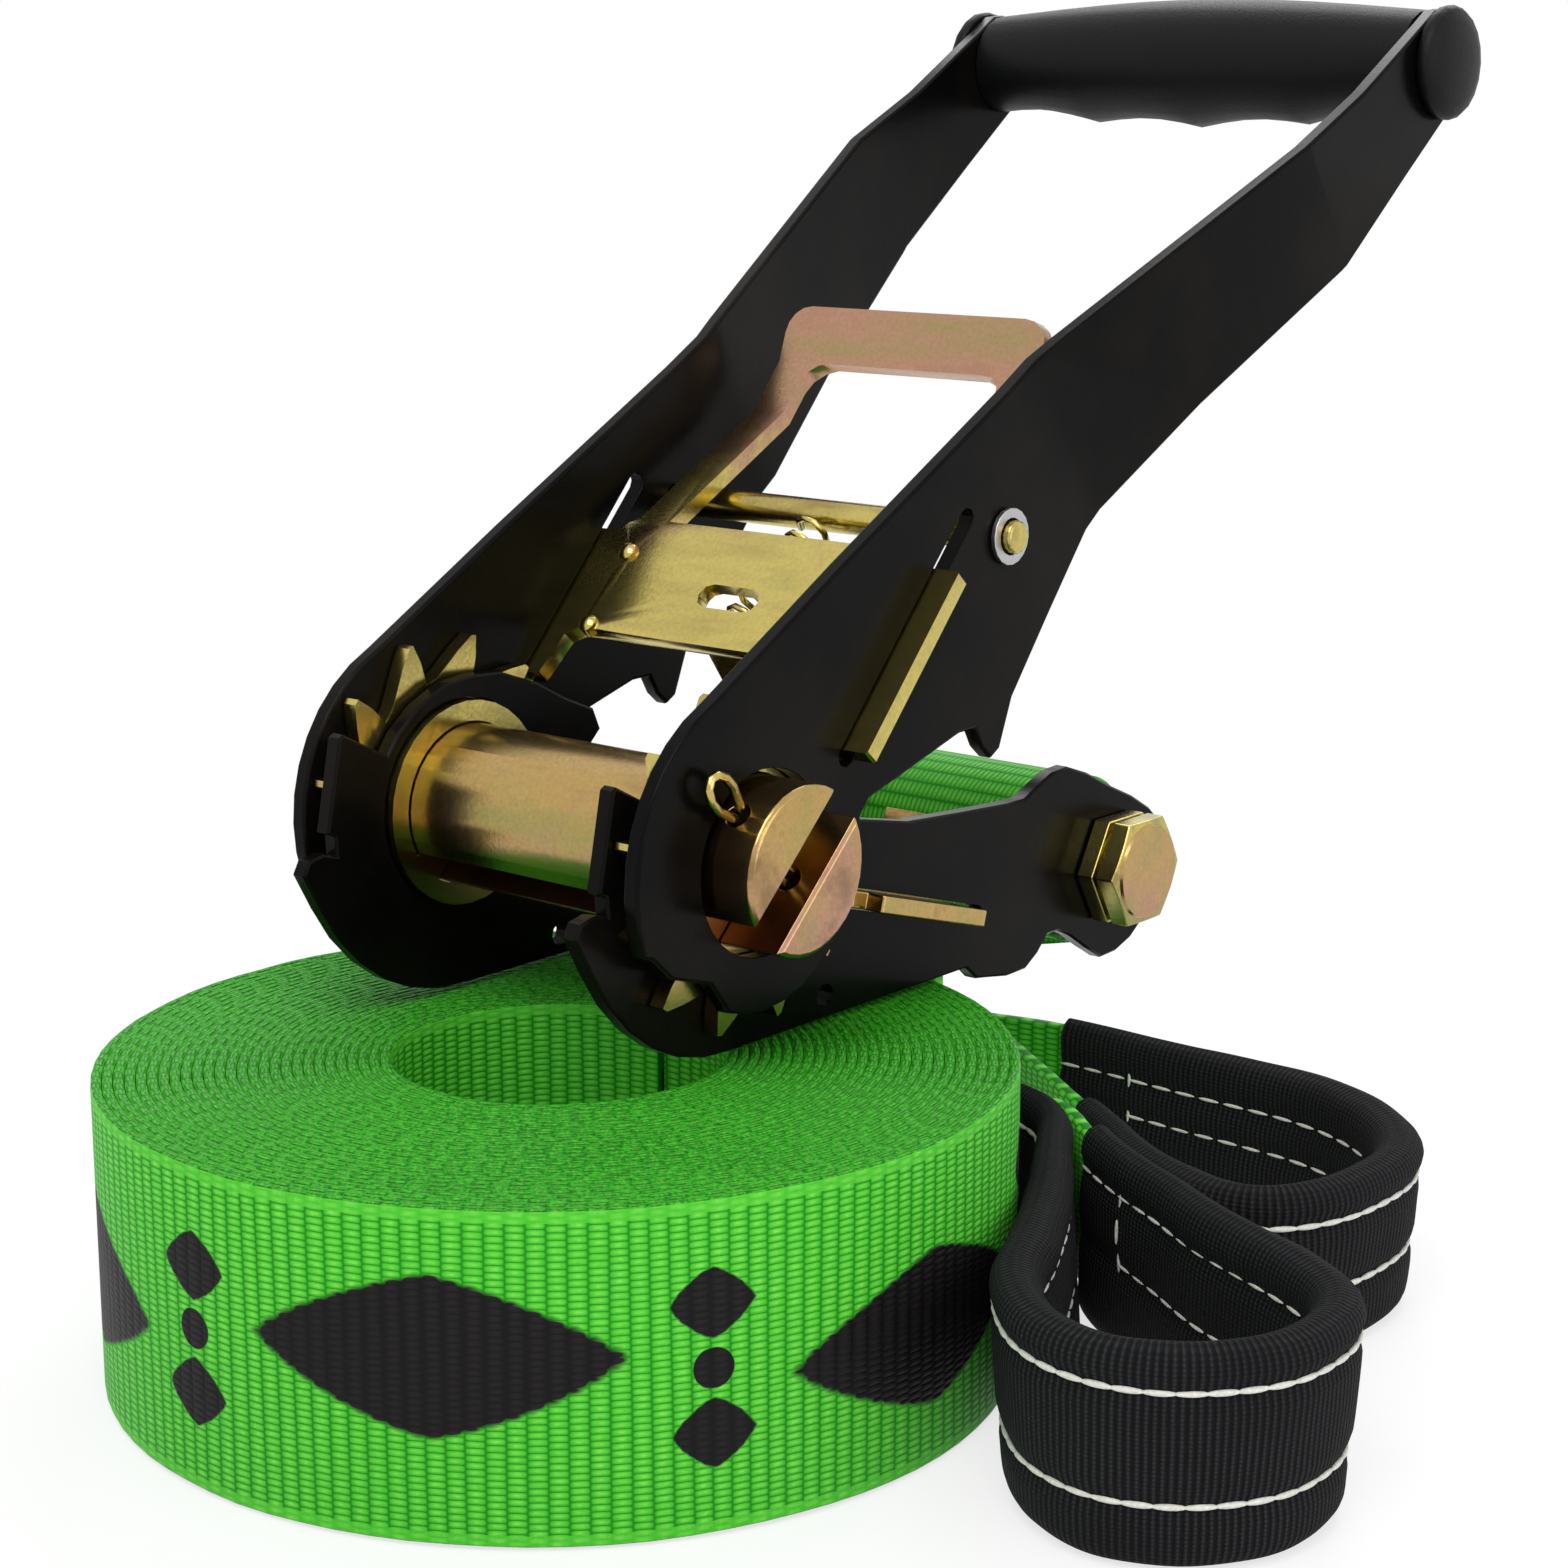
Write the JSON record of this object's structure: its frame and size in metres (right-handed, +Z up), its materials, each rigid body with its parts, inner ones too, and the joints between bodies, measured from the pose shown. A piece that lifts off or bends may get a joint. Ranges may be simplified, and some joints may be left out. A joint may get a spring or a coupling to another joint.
{
  "type": "slackline",
  "caption": "Flat webbing line wound in a roll with a padded sewn eye, and a long-handled ratchet tensioner on a short strap with its own padded eye.",
  "frame": {"origin": "on the floor, below the middle of the part's box", "axes": "+Z up; +X to the right and +Y away, as the picture looks at it; the roll stands on its edge on z = 0"},
  "size_m": [0.2344, 0.2734, 0.212],
  "materials": {
    "green_webbing": "woven",
    "black_sleeve": "woven",
    "black_steel": "satin",
    "yellow_zinc": "yellow chromate zinc",
    "plain_steel": "plain zinc",
    "dark_steel": "blackened",
    "grip_plastic": "matte"
  },
  "bodies": {
    "line": {"webbing_roll": "green_webbing", "line_end": "green_webbing", "front_sleeve": "black_sleeve"},
    "ratchet_frame": {"frame_plate_near": "black_steel", "frame_plate_far": "black_steel", "tail_bolt": "yellow_zinc", "tail_nut": "yellow_zinc", "tail_washer": "dark_steel", "tail_spacer": "yellow_zinc", "frame_spring_saddle": "yellow_zinc", "frame_pawl_spring": "yellow_zinc", "ratchet_strap": "green_webbing", "rear_eye": "green_webbing", "rear_sleeve": "black_sleeve"},
    "drum": {"drum_bar_upper": "yellow_zinc", "drum_bar_lower": "yellow_zinc", "ratchet_wheel_near": "yellow_zinc", "ratchet_wheel_far": "yellow_zinc", "cotter_pin_near": "yellow_zinc", "cotter_pin_far": "yellow_zinc"},
    "handle": {"handle_plate_near": "black_steel", "handle_plate_far": "black_steel", "handle_pin": "yellow_zinc", "pin_washer_near": "plain_steel", "pin_washer_far": "plain_steel", "grip_bar": "plain_steel", "grip_sleeve": "grip_plastic", "grip_cap_near": "grip_plastic", "grip_cap_far": "grip_plastic", "handle_pawl_spring": "yellow_zinc"},
    "handle_pawl": {"handle_pawl": "yellow_zinc"},
    "frame_pawl": {"frame_pawl": "yellow_zinc"}
  },
  "joints": [
    {"name": "ratchet_lift", "type": "slide", "parent": "line", "child": "ratchet_frame", "axis": [0, 0, 1], "range_m": [0, 0.15]},
    {"name": "drum_spin", "type": "hinge", "parent": "ratchet_frame", "child": "drum", "pos_m": [-0.04219, -0.03878, 0.0813], "axis": [0.766, -0.6428, 0], "continuous": true},
    {"name": "handle_swing", "type": "hinge", "parent": "ratchet_frame", "child": "handle", "pos_m": [-0.04219, -0.03878, 0.0813], "axis": [0.766, -0.6428, 0], "range_deg": [-13, 138]},
    {"name": "handle_pawl_pull", "type": "slide", "parent": "handle", "child": "handle_pawl", "axis": [0.4318, 0.5146, 0.7408], "range_m": [0, 0.0105], "stiffness_N_per_m": 900, "springref_m": -0.004, "deforming": ["handle_pawl_spring"]},
    {"name": "frame_pawl_pull", "type": "slide", "parent": "ratchet_frame", "child": "frame_pawl", "axis": [0.6173, 0.7356, -0.279], "range_m": [0, 0.006], "stiffness_N_per_m": 900, "springref_m": -0.004, "deforming": ["frame_pawl_spring"]}
  ]
}
